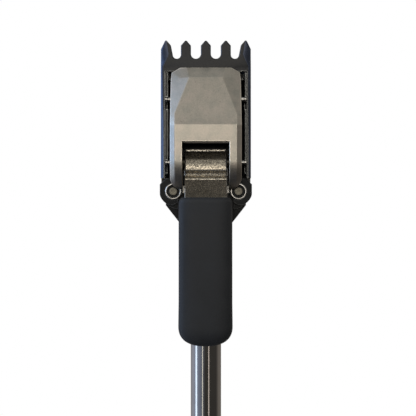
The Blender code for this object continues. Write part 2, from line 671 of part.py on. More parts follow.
def make_lever_grip(rubber):
    """A moulded sleeve over the tang, with a rounded lower end."""
    rows = []
    end_radius = 10 * MM
    for number in range(7):
        turn = math.radians(90 * number / 6)
        height = GRIP_BOTTOM + end_radius * (1 - math.sin(turn))
        rows.append(grip_section(height, end_radius * (1 - math.cos(turn)) * 0.7))
    rows = rows[::-1]
    shoulder = 2.6 * MM
    for number in range(5):
        turn = math.radians(90 * number / 4)
        height = GRIP_TOP - shoulder * (1 - math.sin(turn))
        rows.append(grip_section(height, shoulder * (1 - math.cos(turn))))
    grip = piece("lever_grip", solid_between(rows), rubber, PIVOT, sharp=50)
    cavity = block(
        (-TANG_HALF_WIDTH - GAP, TANG_HALF_WIDTH + GAP), (TANG_FRONT - GAP, TANG_BACK + GAP),
        (TANG_BOTTOM - GAP, GRIP_TOP + 5 * MM),
    )
    combine(grip, "DIFFERENCE", [cavity])


# ---- assembly -----------------------------------------------------------------------------------


def build():
    clear_scene()
    coat = principled("black powder coat", (0.022, 0.023, 0.025), 0.42, 0)
    nylon = principled("black nylon", (0.02, 0.021, 0.023), 0.5, 0)
    rubber = principled("black rubber", (0.018, 0.019, 0.021), 0.75, 0)
    satin = principled("satin casting", (0.46, 0.42, 0.36), 0.38, 1)
    nickel = principled("nickel casting", (0.4, 0.38, 0.34), 0.4, 1)
    chrome = principled("chrome", (0.75, 0.75, 0.76), 0.08, 1)
    steel = principled("zinc steel", (0.6, 0.6, 0.6), 0.3, 1)

    make_tube(chrome)
    make_rear_grip(rubber)
    make_end_plug(nylon)
    make_tube_pin(steel)
    make_comb_frame(coat)
    make_back_plate(coat)
    number = 0
    for side, label in ((-1, "left"), (1, "right")):
        for x, height in PLATE_SCREWS:
            number += 1
            screw_from_behind(f"plate_screw_{number}", side * x, height, steel)
        screw_from_behind(f"anvil_screw_{label}", side * ANVIL_SCREW[0], ANVIL_SCREW[1], steel)
        make_lug_fittings(side, label, steel)
        make_spring(side, label, steel)
    make_socket(nylon)
    make_anvil(steel)
    make_jaw(satin)
    make_jaw_fittings(rubber, steel)
    make_lever(nickel)
    make_lever_grip(rubber)


build()
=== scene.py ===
# %% [markdown]
# # A reacher grabber, built around its engineering model
#
# The tool is a chromed pole with a comb-shaped head. A cast jaw slides behind the comb, and a lever
# with a rubber sleeve folds out to let it go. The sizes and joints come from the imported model, the
# frame. Here each visible part gets a finer mesh and a finish of its own.

# %% Load the frame
import math

import bmesh
import bpy
from mathutils import Matrix, Vector


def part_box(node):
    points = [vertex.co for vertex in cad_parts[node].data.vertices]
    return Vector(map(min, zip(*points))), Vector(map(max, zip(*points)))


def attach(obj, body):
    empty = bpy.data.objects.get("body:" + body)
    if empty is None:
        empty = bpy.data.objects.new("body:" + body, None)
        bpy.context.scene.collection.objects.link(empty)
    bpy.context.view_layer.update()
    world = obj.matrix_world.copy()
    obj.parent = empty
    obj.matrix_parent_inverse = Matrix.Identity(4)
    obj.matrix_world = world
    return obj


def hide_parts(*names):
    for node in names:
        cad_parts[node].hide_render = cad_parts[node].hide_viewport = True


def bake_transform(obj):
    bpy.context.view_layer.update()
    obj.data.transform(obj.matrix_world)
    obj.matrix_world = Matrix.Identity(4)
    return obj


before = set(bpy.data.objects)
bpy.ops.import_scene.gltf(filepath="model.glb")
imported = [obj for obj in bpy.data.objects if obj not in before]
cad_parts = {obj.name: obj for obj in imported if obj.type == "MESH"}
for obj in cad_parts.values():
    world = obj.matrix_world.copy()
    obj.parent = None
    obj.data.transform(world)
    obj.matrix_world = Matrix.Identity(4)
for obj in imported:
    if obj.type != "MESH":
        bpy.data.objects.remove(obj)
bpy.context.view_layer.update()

# %% [markdown]
# ## Small tools for shapes
#
# Most parts here start as a flat outline that is given a thickness, as if cut from plate, or as a
# profile that is turned, as on a lathe. Two short helpers do that with bmesh operators. A third joins
# and cuts shapes with Booleans, and a fourth rounds the edges, because a real edge is never sharp and
# it is the rounded edge that catches the light.

# %% Outlines
MM = 0.001
LATHE = {
    "X": Matrix.Rotation(math.pi / 2, 4, "Y"),
    "Y": Matrix.Rotation(-math.pi / 2, 4, "X"),
    "Z": Matrix(),
}
SIDES = ((-1, "left"), (1, "right"))


def place(axis, a, b, level):
    """A point of a flat outline in mm, at a level along the axis that the outline faces, in metres."""
    return Vector({"X": (level, a, b), "Y": (a, level, b), "Z": (a, b, level)}[axis]) * MM


def arc(centre, radius, start, end, steps):
    """Points on an arc in mm, with its angles in degrees."""
    turns = [math.radians(start + (end - start) * i / steps) for i in range(steps + 1)]
    return [(centre[0] + radius * math.cos(t), centre[1] + radius * math.sin(t)) for t in turns]


def mirrored(outline):
    """The same outline on the left, with its points turned round."""
    return [(-a, b) for a, b in reversed(outline)]


# %% Plates and turned shapes
def slab(outline, axis, low, high):
    """A flat outline given a thickness along an axis."""
    shape = bmesh.new()
    face = shape.faces.new([shape.verts.new(place(axis, a, b, low)) for a, b in outline])
    grown = bmesh.ops.extrude_face_region(shape, geom=[face])["geom"]
    moved = [item for item in grown if isinstance(item, bmesh.types.BMVert)]
    bmesh.ops.translate(shape, verts=moved, vec=place(axis, 0, 0, high - low))
    bmesh.ops.holes_fill(shape, edges=shape.edges)
    bmesh.ops.recalc_face_normals(shape, faces=shape.faces)
    return shape


def block(x, y, z):
    return slab([(x[0], y[0]), (x[1], y[0]), (x[1], y[1]), (x[0], y[1])], "Z", *z)


def lathe(profile, axis="Z", centre=(0, 0), steps=64):
    """A closed profile of (radius, height) in mm, turned about an axis."""
    shape = bmesh.new()
    points = [shape.verts.new((radius * MM, 0, height * MM)) for radius, height in profile]
    edges = [shape.edges.new(pair) for pair in zip(points, points[1:] + points[:1])]
    bmesh.ops.spin(
        shape, geom=points + edges, axis=(0, 0, 1), cent=(0, 0, 0),
        angle=math.tau, steps=steps, use_merge=True,
    )
    bmesh.ops.remove_doubles(shape, verts=shape.verts, dist=1e-6)
    bmesh.ops.recalc_face_normals(shape, faces=shape.faces)
    bmesh.ops.transform(shape, matrix=LATHE[axis], verts=shape.verts)
    bmesh.ops.translate(shape, verts=shape.verts, vec=place(axis, *centre, 0))
    return shape


def bar(axis, centre, radius, low, high, steps=48):
    return lathe([(0, low), (radius, low), (radius, high), (0, high)], axis, centre, steps)


def loft(rows):
    """A skin drawn through rows of points in mm, closed at both ends."""
    shape = bmesh.new()
    loops = []
    for row in rows:
        points = [shape.verts.new(Vector(point) * MM) for point in row]
        loops.append([shape.edges.new(pair) for pair in zip(points, points[1:] + points[:1])])
    for lower, upper in zip(loops, loops[1:]):
        bmesh.ops.bridge_loops(shape, edges=lower + upper)
    bmesh.ops.holes_fill(shape, edges=shape.edges)
    bmesh.ops.recalc_face_normals(shape, faces=shape.faces)
    return shape


# %% Booleans and rounded edges
def as_object(name, shape):
    mesh = bpy.data.meshes.new(name)
    shape.to_mesh(mesh)
    shape.free()
    item = bpy.data.objects.new(name, mesh)
    bpy.context.scene.collection.objects.link(item)
    return item


def carve(shape, add=(), cut=()):
    """Joins shapes to a shape and then cuts others out of it."""
    blank = as_object("blank", shape)
    tools = []
    for operation, others in (("UNION", add), ("DIFFERENCE", cut)):
        for other in others:
            tools.append(as_object("tool", other))
            change = blank.modifiers.new(operation, "BOOLEAN")
            change.operation = operation
            change.solver = "EXACT"
            change.object = tools[-1]
    bpy.context.view_layer.update()
    result = bmesh.new()
    result.from_object(blank, bpy.context.evaluated_depsgraph_get())
    for item in [blank] + tools:
        bpy.data.objects.remove(item, do_unlink=True)
    bmesh.ops.remove_doubles(result, verts=result.verts, dist=2e-6)
    bmesh.ops.dissolve_limit(
        result, angle_limit=math.radians(0.4), verts=result.verts, edges=result.edges,
    )
    return result


def soften(shape, width, angle=28, segments=3, where=None):
    """Rounds each edge that turns by more than an angle. Where picks edges by their middle, in mm."""
    bmesh.ops.dissolve_degenerate(shape, dist=0.02 * MM, edges=shape.edges)
    sharp = []
    for edge in shape.edges:
        if len(edge.link_faces) != 2 or edge.calc_face_angle(0) < math.radians(angle):
            continue
        middle = (edge.verts[0].co + edge.verts[1].co) / 2 / MM
        if where is None or where(middle):
            sharp.append(edge)
    bmesh.ops.bevel(
        shape, geom=sharp, offset=width * MM, offset_type="OFFSET", affect="EDGES",
        segments=segments, profile=0.5, material=-1, clamp_overlap=False,
    )
    print("rounded", len(sharp), "edges")
    return shape


# %% Finished pieces
def finished(name, shape, body, nodes, material, angle=40):
    """Names a shape, gives it its finish, and lets it ride on a body in place of CAD nodes."""
    item = as_object(name, shape)
    item.data.materials.append(material)
    item.data.shade_smooth()
    item.data.set_sharp_from_angle(angle=math.radians(angle))
    even = item.modifiers.new("even light", "WEIGHTED_NORMAL")
    even.keep_sharp = True
    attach(item, body)
    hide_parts(*nodes)
    print(f"{name}: {len(item.data.polygons)} faces on {body}")


# %% [markdown]
# ## Finishes
#
# Every finish is a small network of nodes on the Principled shader. Noise on Object coordinates gives
# the grain its real size, because those coordinates are in metres: a noise scale of 2500 makes grains
# of about 0.4 mm. The same noise that tints the surface also drives a Bump node, so that what looks
# like a pit also shades like one.

# %% Node helpers
def new_finish(name, metallic):
    material = bpy.data.materials.new(name)
    material.use_nodes = True
    tree = material.node_tree
    shader = tree.nodes["Principled BSDF"]
    shader.inputs["Metallic"].default_value = metallic
    return material, tree, shader


def feed(tree, socket, value):
    """Links a socket to a node's output, or sets its value."""
    if isinstance(value, bpy.types.NodeSocket):
        tree.links.new(value, socket)
    else:
        socket.default_value = value


def add(tree, kind, inputs, **settings):
    node = tree.nodes.new("ShaderNode" + kind)
    for name, value in settings.items():
        setattr(node, name, value)
    for name, value in inputs.items():
        feed(tree, node.inputs[name], value)
    return node


def object_point(tree, stretch=(1, 1, 1)):
    """The point on the object in metres, with a stretch along each axis for drawn-out grain."""
    point = add(tree, "TexCoord", {}).outputs["Object"]
    if stretch == (1, 1, 1):
        return point
    return add(tree, "Mapping", {"Vector": point, "Scale": stretch}).outputs["Vector"]


def noise(tree, point, scale, detail=3.0, rough=0.55):
    return add(tree, "TexNoise", {
        "Vector": point, "Scale": scale, "Detail": detail, "Roughness": rough,
    }).outputs["Fac"]


def ramp(tree, value, stops):
    """Maps a value from 0 to 1 onto colours. A stop is a place and a colour, or a place and a grey."""
    node = add(tree, "ValToRGB", {"Fac": value})
    band = node.color_ramp
    while len(band.elements) < len(stops):
        band.elements.new(0.5)
    for element, (spot, colour) in zip(band.elements, stops):
        element.position = spot
        element.color = (*(colour if isinstance(colour, tuple) else (colour,) * 3), 1)
    return node.outputs["Color"]


def mix(tree, factor, first, second, way="MIX"):
    node = add(tree, "Mix", {}, data_type="RGBA", blend_type=way)
    for socket, value in zip((node.inputs[0], node.inputs[6], node.inputs[7]), (factor, first, second)):
        feed(tree, socket, value)
    return node.outputs[2]


def bump(tree, height, depth_mm, below=None):
    """Turns a height from 0 to 1 into relief of a depth in mm, on top of another bump if there is one."""
    inputs = {"Height": height, "Distance": depth_mm * MM, "Strength": 1.0}
    if below is not None:
        inputs["Normal"] = below
    return add(tree, "Bump", inputs).outputs["Normal"]


def edge_mask(tree, radius_mm, start, end):
    """White along outer and inner edges: where a rounded normal differs from the face's own."""
    rounded = add(tree, "Bevel", {"Radius": radius_mm * MM}, samples=4).outputs["Normal"]
    true = add(tree, "NewGeometry", {}).outputs["Normal"]
    match = add(tree, "VectorMath", {0: rounded, 1: true}, operation="DOT_PRODUCT").outputs["Value"]
    return add(tree, "MapRange", {
        "Value": match, "From Min": start, "From Max": end, "To Min": 0.0, "To Max": 1.0,
    }).outputs["Result"]


def sloping_mask(tree):
    """White on faces that look 45 degrees sideways, such as a chamfer down an edge."""
    sides = add(tree, "SeparateXYZ", {"Vector": add(tree, "NewGeometry", {}).outputs["True Normal"]})
    both = add(tree, "Math", {0: sides.outputs["X"], 1: sides.outputs["Y"]}, operation="MULTIPLY")
    size = add(tree, "Math", {0: both.outputs["Value"]}, operation="ABSOLUTE")
    return add(tree, "MapRange", {
        "Value": size.outputs["Value"], "From Min": 0.25, "From Max": 0.48,
    }).outputs["Result"]


def cover(tree, shader, colour, roughness, normal):
    """The three inputs that every finish here sets."""
    for name, value in (("Base Color", colour), ("Roughness", roughness), ("Normal", normal)):
        feed(tree, shader.inputs[name], value)


# %% [markdown]
# The comb and side rails are powder coated. Powder melts into a skin with a faint orange-peel ripple.
# The chamfers are tinted bluish and made metallic, as a painted reflection of the cool window light.
# The edges are lighter and metallic: edge wear, and also a painted highlight along the slots' edges.
# The first mask finds the chamfers, and the second the edges.

# %% Black powder coat
def powder_coat():
    material, tree, shader = new_finish("black powder coat", 0.0)
    point = object_point(tree)
    broad = noise(tree, point, 90, 2)
    fine = noise(tree, point, 2600, 4, 0.6)
    colour = ramp(tree, broad, [(0.3, (0.005, 0.0075, 0.011)), (0.7, (0.008, 0.0105, 0.0145))])
    speck = ramp(tree, noise(tree, point, 5200, 2), [(0.64, 0.0), (0.72, 0.4)])
    colour = mix(tree, speck, colour, (0.05, 0.05, 0.05, 1))
    # Painted reflection: the chamfers are tinted bluish and made metallic, for the cool window's light.
    painted_blue_sheen = sloping_mask(tree)
    colour = mix(tree, painted_blue_sheen, colour, (0.065, 0.078, 0.115, 1))
    # Lighter metallic edges: edge wear, and also a painted highlight along the slots' edges.
    worn = edge_mask(tree, 0.4, 0.997, 0.97)
    colour = mix(tree, worn, colour, (0.26, 0.27, 0.27, 1))
    feed(tree, shader.inputs["Metallic"], mix(tree, 1.0, painted_blue_sheen, worn, "LIGHTEN"))
    shader.inputs["Specular IOR Level"].default_value = 0.31
    relief = bump(tree, fine, 0.012, bump(tree, noise(tree, point, 700, 2), 0.02))
    cover(tree, shader, colour, ramp(tree, fine, [(0.3, 0.26), (0.7, 0.38)]), relief)
    return material


# %% [markdown]
# The jaw is cast and then blasted with fine beads. Blasting leaves a dense field of tiny dimples, so
# the metal looks satin rather than shiny, and small casting pits stay darker.

# %% Satin casting
def satin_casting():
    material, tree, shader = new_finish("bead blasted casting", 1.0)
    point = object_point(tree)
    grain = noise(tree, point, 2300, 5, 0.62)
    cloud = noise(tree, point, 160, 3)
    colour = ramp(tree, cloud, [
        (0.3, (0.39, 0.375, 0.335)), (0.5, (0.45, 0.42, 0.37)), (0.7, (0.49, 0.445, 0.395)),
    ])
    mottle = ramp(tree, grain, [(0.32, 0.72), (0.5, 1.0), (0.7, 1.16)])
    colour = mix(tree, 1.0, colour, mottle, "MULTIPLY")
    pit = ramp(tree, noise(tree, point, 640, 3, 0.7), [(0.685, 0.0), (0.74, 0.7)])
    colour = mix(tree, pit, colour, (0.10, 0.095, 0.085, 1))
    # Painted highlight: a cream line along every edge, with a lower roughness there.
    bright = edge_mask(tree, 0.8, 0.998, 0.978)
    colour = mix(tree, bright, colour, (0.95, 0.88, 0.76, 1))
    matt = ramp(tree, grain, [(0.3, 0.36), (0.7, 0.48)])
    relief = bump(tree, grain, 0.035, bump(tree, noise(tree, point, 900, 3), 0.03))
    cover(tree, shader, colour, mix(tree, bright, matt, (0.3, 0.3, 0.3, 1)), relief)
    return material


# %% [markdown]
# The lever is a rougher sand casting under bright nickel. The plating is glossy, but the skin under it
# is lumpy, so each lump throws its own small glint. A low roughness with a deep bump gives that. In
# the hollows the plating is thin and dull, so the metal fades a little there.

# %% Nickel casting
def nickel_casting():
    material, tree, shader = new_finish("nickel plated casting", 1.0)
    point = object_point(tree)
    lumps = noise(tree, point, 1500, 3, 0.62)
    cells = add(tree, "TexVoronoi", {"Vector": point, "Scale": 1500.0}, feature="F1").outputs["Distance"]
    broad = noise(tree, point, 220, 3)
    colour = ramp(tree, broad, [(0.3, (0.36, 0.325, 0.265)), (0.7, (0.50, 0.455, 0.375))])
    hollow = ramp(tree, lumps, [(0.34, 0.3), (0.5, 0.9), (0.64, 1.6)])
    colour = mix(tree, 1.0, colour, hollow, "MULTIPLY")
    # Painted highlight: a pale line along every edge.
    bright = edge_mask(tree, 0.7, 0.995, 0.95)
    colour = mix(tree, bright, colour, (0.95, 0.92, 0.85, 1))
    feed(tree, shader.inputs["Metallic"], ramp(tree, lumps, [(0.4, 0.55), (0.58, 1.0)]))
    swell = bump(tree, cells, 0.05, bump(tree, noise(tree, point, 500, 2), 0.05))
    shine = ramp(tree, lumps, [(0.3, 0.34), (0.7, 0.18)])
    cover(tree, shader, colour, shine, bump(tree, lumps, 0.09, swell))
    return material


# %% [markdown]
# The sleeves are smooth matte rubber. It isn't quite black: dust and handling leave a thin grey bloom,
# and the moulded skin has a very fine stipple that softens every reflection.

# %% Matte rubber
def matte_rubber():
    material, tree, shader = new_finish("matte rubber", 0.0)
    point = object_point(tree)
    bloom = noise(tree, point, 60, 4, 0.6)
    stipple = noise(tree, point, 3800, 2)
    colour = ramp(tree, bloom, [(0.35, (0.017, 0.0195, 0.024)), (0.7, (0.025, 0.028, 0.033))])
    dust = ramp(tree, noise(tree, point, 1700, 3, 0.7), [(0.66, 0.0), (0.78, 0.35)])
    colour = mix(tree, dust, colour, (0.05, 0.05, 0.05, 1))
    relief = bump(tree, stipple, 0.012, bump(tree, noise(tree, point, 300, 3), 0.02))
    cover(tree, shader, colour, ramp(tree, bloom, [(0.3, 0.5), (0.7, 0.62)]), relief)
    shader.inputs["Specular IOR Level"].default_value = 0.42
    shader.inputs["Sheen Weight"].default_value = 0.06
    shader.inputs["Sheen Roughness"].default_value = 0.4
    return material


# %% [markdown]
# The socket and end plug are moulded nylon, blacker and smoother than the rubber, with the
# spark-eroded grain that a mould leaves and pale, rubbed edges.

# %% Moulded nylon
def moulded_nylon():
    material, tree, shader = new_finish("moulded nylon", 0.0)
    point = object_point(tree)
    grain = noise(tree, point, 3000, 3)
    cloud = noise(tree, point, 120, 3)
    colour = ramp(tree, cloud, [(0.3, (0.004, 0.006, 0.0075)), (0.7, (0.0075, 0.0095, 0.0115))])
    worn = edge_mask(tree, 0.4, 0.996, 0.965)
    colour = mix(tree, worn, colour, (0.13, 0.135, 0.14, 1))
    shader.inputs["Specular IOR Level"].default_value = 0.16
    cover(tree, shader, colour, ramp(tree, grain, [(0.3, 0.3), (0.7, 0.42)]), bump(tree, grain, 0.012))
    return material


# %% [markdown]
# Chrome shows almost nothing of itself. What makes it look real is what spoils it: faint marks drawn
# along the tube, and a thin haze from handling.

# %% Polished chrome
def polished_chrome():
    material, tree, shader = new_finish("polished chrome", 1.0)
    drawn = noise(tree, object_point(tree, (1, 1, 0.004)), 2400, 3)
    haze = noise(tree, object_point(tree), 70, 4, 0.6)
    colour = ramp(tree, haze, [(0.3, (0.60, 0.585, 0.57)), (0.7, (0.68, 0.67, 0.66))])
    cover(tree, shader, colour, ramp(tree, haze, [(0.3, 0.09), (0.75, 0.125)]), bump(tree, drawn, 0.00005))
    return material


# %% [markdown]
# Pins, screws, bushes and springs are plain bright steel. Turning leaves fine rings, drawn out along
# one axis, and handling leaves small dark stains.

# %% Bright steel
def bright_steel():
    material, tree, shader = new_finish("bright steel", 1.0)
    ringed = noise(tree, object_point(tree, (0.1, 1, 1)), 5200, 2)
    stain = noise(tree, object_point(tree), 380, 4, 0.6)
    colour = ramp(tree, stain, [(0.34, (0.36, 0.355, 0.34)), (0.6, (0.60, 0.59, 0.57))])
    worn = edge_mask(tree, 0.2, 0.99, 0.93)
    colour = mix(tree, worn, colour, (0.74, 0.73, 0.71, 1))
    cover(tree, shader, colour, ramp(tree, ringed, [(0.3, 0.2), (0.7, 0.34)]), bump(tree, ringed, 0.004))
    return material


# %% [markdown]
# The lug screws and the spacers are the same steel, but oiled and dull. An oil film could be a clear
# coat over the metal, but at this size a darker colour and a patchy roughness look the same.

# %% Oiled steel
def dark_steel():
    material, tree, shader = new_finish("oiled steel", 1.0)
    film = noise(tree, object_point(tree), 900, 4, 0.6)
    colour = ramp(tree, film, [(0.3, (0.10, 0.095, 0.08)), (0.7, (0.19, 0.18, 0.15))])
    worn = edge_mask(tree, 0.25, 0.99, 0.93)
    colour = mix(tree, worn, colour, (0.34, 0.32, 0.27, 1))
    cover(tree, shader, colour, ramp(tree, film, [(0.3, 0.32), (0.7, 0.48)]), bump(tree, film, 0.02))
    return material


# %% Make the finishes
COAT = powder_coat()
SATIN = satin_casting()
NICKEL = nickel_casting()
RUBBER = matte_rubber()
NYLON = moulded_nylon()
CHROME = polished_chrome()
STEEL = bright_steel()
DARK_STEEL = dark_steel()
finishes = (COAT, SATIN, NICKEL, RUBBER, NYLON, CHROME, STEEL, DARK_STEEL)
print("finishes:", ", ".join(material.name for material in finishes))

# %% [markdown]
# ## The comb and the side rails
#
# The front band carries five pointed prongs with round-bottomed slots between them. It could be drawn
# as separate teeth, but on the real part it is one plate, so it is one outline here, with each slot as
# a half circle. The two outer slots are a little narrower at the bottom and so have one leaning side.

# %% Sizes of the head, from the frame
comb_low, comb_high = (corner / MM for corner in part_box("comb_frame"))
HALF = comb_high.x
FRONT, BACK = comb_low.y, comb_high.y
TIP = comb_high.z
PLATE = 3.0
BAND_BOTTOM = TIP - 18.6
SLOT_BOTTOM = TIP - 10.95
SLOT_RADIUS = 3.0
SLOT_LEAN = 1.1
PITCH = 12.06
PIN_Y, PIVOT_Z, GUIDE_Z, PIN_BORE = -13.5, 386.6, 425.0, 1.8
STROKE = 5.0
TRACK = 2.7
SPRING_X, SPRING_Y, SPRING_BORE = 9, -5.1, 1.4
PLATE_SCREW_X, ANVIL_SCREW_X, LOW_SCREW_Z, HIGH_SCREW_Z = 24.4, 8, 367, 440
FAR = 40
print("head half width", round(HALF, 2), "mm; front at", round(FRONT, 2), "and back at", round(BACK, 2))


# %% The comb's outline
def prong_top(middle, half, left_shoulder, right_shoulder):
    """The point of one prong, from its right shoulder over a small round tip to its left shoulder."""
    tip = arc((middle, TIP - 1.0), 1.0, 50, 130, 6)
    return [(middle + half[1], right_shoulder)] + tip + [(middle - half[0], left_shoulder)]


def comb_outline():
    half = PITCH / 2 - SLOT_RADIUS
    shoulder, outer = TIP - 3.0, TIP - 4.7
    outline = [(HALF, BAND_BOTTOM)]
    for number in (2, 1, 0, -1, -2):
        middle = number * PITCH
        right = HALF - middle if number == 2 else half
        left = HALF + middle if number == -2 else half
        left_shoulder = outer if number == -2 else shoulder
        right_shoulder = outer if number == 2 else shoulder
        outline += prong_top(middle, (left, right), left_shoulder, right_shoulder)
        if number > -2:
            narrow = SLOT_LEAN / 2 if number in (2, -1) else 0
            shift = -narrow if number == 2 else narrow
            radius = SLOT_RADIUS - narrow
            outline += arc((middle - PITCH / 2 + shift, SLOT_BOTTOM + radius), radius, 0, -180, 20)
    return outline + [(-HALF, BAND_BOTTOM)]


print("the comb's outline has", len(comb_outline()), "points")


# %% [markdown]
# ## The rails
#
# Each rail is a bar beside the jaw, with two slots that the pins slide in. The outer prong has a
# bevelled outer face, which runs out into a small chamfer down the rail. Both come from one cutter, a
# skin through four sections, because a Bevel modifier can't change its width along an edge.

# %% The corner cutter and the rails
def corner_cutter(side):
    """Four sections down the front corner. The upper two are the outer prong's bevelled face."""
    rows = []
    for height, width, depth in ((340, 1.6, 1.6), (444.2, 1.6, 1.6), (451.6, 4.8, 2.7), (461, 3.3, 2.7)):
        section = [
            (HALF - width, FRONT), (HALF, FRONT + depth), (HALF + 3, FRONT + depth),
            (HALF + 3, FRONT - 3), (HALF - width, FRONT - 3),
        ]
        rows.append([(side * x, y, height) for x, y in section])
    return loft(rows)


def rail_bar(side):
    """A rail's long bar. Its inner face leans in towards the back, as a cast part's does."""
    outline = [(HALF, FRONT), (HALF, BACK), (22.2, BACK), (24.8, FRONT)]
    return slab(outline if side > 0 else mirrored(outline), "Z", comb_low.z, TIP - 6)


def rail_cuts(side):
    """The sloping top, the lap for the lug, the clipped foot, the pins' slots and the screws' holes."""
    reach = sorted((side * 15, side * FAR))
    top = [(FRONT + PLATE, 470), (FRONT + PLATE, 452), (BACK - 1, 445), (5, 445), (5, 470)]
    lap = [(-30, 340), (-12, 340), (-12, 377), (-30, 377)]
    foot = [(27.9, 367.6), (22.4, 360.9), (22.4, 350), (FAR, 350)]
    clip = slab(foot if side > 0 else mirrored(foot), "Y", -FAR, FAR)
    cuts = [slab(top, "X", *reach), slab(lap, "X", *reach), corner_cutter(side), clip]
    for height in (PIVOT_Z, GUIDE_Z):
        low, high = height - STROKE - 0.3, height + 0.3
        hole = arc((PIN_Y, high), TRACK, 0, 180, 16) + arc((PIN_Y, low), TRACK, 180, 360, 16)
        cuts.append(slab(hole, "X", *sorted((side * 21.5, side * 30))))
    for height in (LOW_SCREW_Z, HIGH_SCREW_Z):
        cuts.append(bar("Y", (side * PLATE_SCREW_X, height), 1.2, -9, 2, 24))
    return cuts


# %% Make the comb and rails
def make_comb():
    """One casting: comb, rails, a cross bar behind the band and a narrow ledge up each rail's inside."""
    bridge = block((-23, 23), (-7.8, -2.4), (438, BAND_BOTTOM))
    rods = [bar("Z", (side * SPRING_X, SPRING_Y), SPRING_BORE, 430, 445, 24) for side in (1, -1)]
    depth = (FRONT + 2, FRONT + 3.2)
    ledges = [block((-25.5, -23.0), depth, (380, 441)), block((23.8, 25.5), depth, (380, 441))]
    shape = carve(
        slab(comb_outline(), "Y", FRONT, FRONT + PLATE),
        add=[rail_bar(1), rail_bar(-1), bridge] + ledges,
        cut=rail_cuts(1) + rail_cuts(-1) + rods,
    )
    inner = 2 * PITCH - SLOT_RADIUS
    soften(shape, 0.7, 50, 3, where=lambda p: (
        p.y < FRONT + 0.05 and p.z > SLOT_BOTTOM - 0.5 and abs(p.x) < inner
    ))
    finished("comb_and_rails", shape, "frame", ["comb_frame"], COAT)


make_comb()

# %% [markdown]
# ## The back plate
#
# A flat plate closes the head at the back. Its six screws are sunk flush, so that nothing catches: four
# go into the rails and two into the anvil. The corners are clipped, and a bevel all round keeps the
# edge from looking like paper.

# %% Back plate
def make_back_plate():
    low, high = (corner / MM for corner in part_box("back_plate"))
    clip = 3.0
    right = [
        (high.x - clip, low.z), (high.x, low.z + clip), (high.x, high.z - clip), (high.x - clip, high.z),
    ]
    holes = []
    for side in (1, -1):
        for x, height in (
            (PLATE_SCREW_X, LOW_SCREW_Z), (PLATE_SCREW_X, HIGH_SCREW_Z), (ANVIL_SCREW_X, LOW_SCREW_Z),
        ):
            holes.append(bar("Y", (side * x, height), 1.2, -9, 5, 24))
            holes.append(bar("Y", (side * x, height), 2.2, high.y - 2.0, 5, 32))
    shape = carve(slab(right + mirrored(right), "Y", low.y, high.y), cut=holes)
    soften(shape, 0.35, 28, 3, where=lambda p: p.y > high.y - 0.1)
    finished("rear_cover_plate", shape, "frame", ["back_plate"], COAT)


make_back_plate()

# %% [markdown]
# ## The clamp jaw
#
# The jaw is the faceted casting in the middle of the head. A block could be chiselled to this shape,
# but its facets are simply straight bands between a few sections, so a skin through those sections is
# both shorter and truer. The same sections, pulled in by the wall's thickness, make the hollow. The
# lever's barrel shows through a notch between the legs, with a thin lip inside its top edge.

# %% Sections of the jaw
JAW_HALF, FACE_HALF = 21.0, 18.2
JAW_FRONT, JAW_BACK = -34.0, -8.5
LEG_RADIUS, JAW_WALL = 17.0, 2.6
NOTCH_HALF, NOTCH_TOP = 13.75, 397.5
OPEN_BACK = 20


def jaw_rows(inset):
    """Rows of eight points from the leg ends up. Inset is 0 outside. Inside it is the wall's thickness."""
    back = JAW_BACK + (OPEN_BACK if inset else 0)
    middle = JAW_FRONT + LEG_RADIUS
    face, side = FACE_HALF - 0.6 * inset, JAW_HALF - inset
    rights = []
    half = (side + face) / 2
    for y, z in arc((middle, PIVOT_Z), LEG_RADIUS - inset, 256, 180, 18):
        lean = 2 * (middle - y) / (LEG_RADIUS - inset)
        rights.append([(side, back, z), (side, y + lean, z), (half, y + lean / 2, z), (face, y, z)])
    for step, height in ((0, 407.4), (2, 414.2)):
        y = JAW_FRONT + inset + step
        edge = [(side, back), (side, y + 2), (half, y + 1), (face, y)]
        rights.append([(*point, height) for point in edge])
    if inset:
        edge, height = [(side, back), (side, -18.7), (13.4, -21.85), (8.4, -25)], 431.5
    else:
        edge, height = [(side, back), (side, -20.6), (15.4, -23.8), (9.8, -27)], 436.2
    rights.append([(*point, height) for point in edge])
    if not inset:
        side -= 0.4
        rights.append([
            (side, back, 440.5), (side, -19.3, 440.5), (15.4, -19.8, 443.3), (11.4, -20.2, 443.3),
        ])
    return [[(-x, y, z) for x, y, z in right] + right[::-1] for right in rights]


print("the jaw is drawn through", len(jaw_rows(0)), "sections")


# %% Make the jaw
def make_jaw():
    corner = [(JAW_HALF + 1, 379)] + arc((JAW_HALF - 6.5, 376.5), 6.5, 0, -90, 14) + [(JAW_HALF + 1, 370)]
    hollow = carve(loft(jaw_rows(0)), cut=[
        slab(corner, "Y", -FAR, FAR),
        slab(mirrored(corner), "Y", -FAR, FAR),
        loft(jaw_rows(JAW_WALL)),
        block((-FAR, FAR), (FRONT - 0.5, FAR), (438, 460)),
        block((-FAR, FAR), (-20.7, FAR), (340, 382.3)),
        block((-NOTCH_HALF, NOTCH_HALF), (-FAR, -19), (340, NOTCH_TOP)),
        bar("X", (PIN_Y, PIVOT_Z), PIN_BORE, -FAR, FAR, 32),
    ])
    holes = [bar("X", (PIN_Y, GUIDE_Z), PIN_BORE, -FAR, FAR, 32)]
    holes += [bar("Z", (side * SPRING_X, SPRING_Y), SPRING_BORE, 410, 430, 24) for side in (1, -1)]
    lip = block((-13.4, 13.4), (-31.6, -29), (396.9, 401))
    shape = carve(hollow, add=[block((-19, 19), (-28.5, -2.7), (417.5, 420.5)), lip])
    shape = carve(shape, cut=holes)
    soften(shape, 0.4, 12, 3, where=lambda p: p.y < -18.4)
    finished("cast_clamp_jaw", shape, "jaw", ["clamp_jaw"], SATIN, 25)


make_jaw()


# %% [markdown]
# A rubber pad sits on the jaw's shoulder, under the comb band. It is what meets the band when the
# lever is shut. Small grip ribs run across its top, cut as shallow grooves.

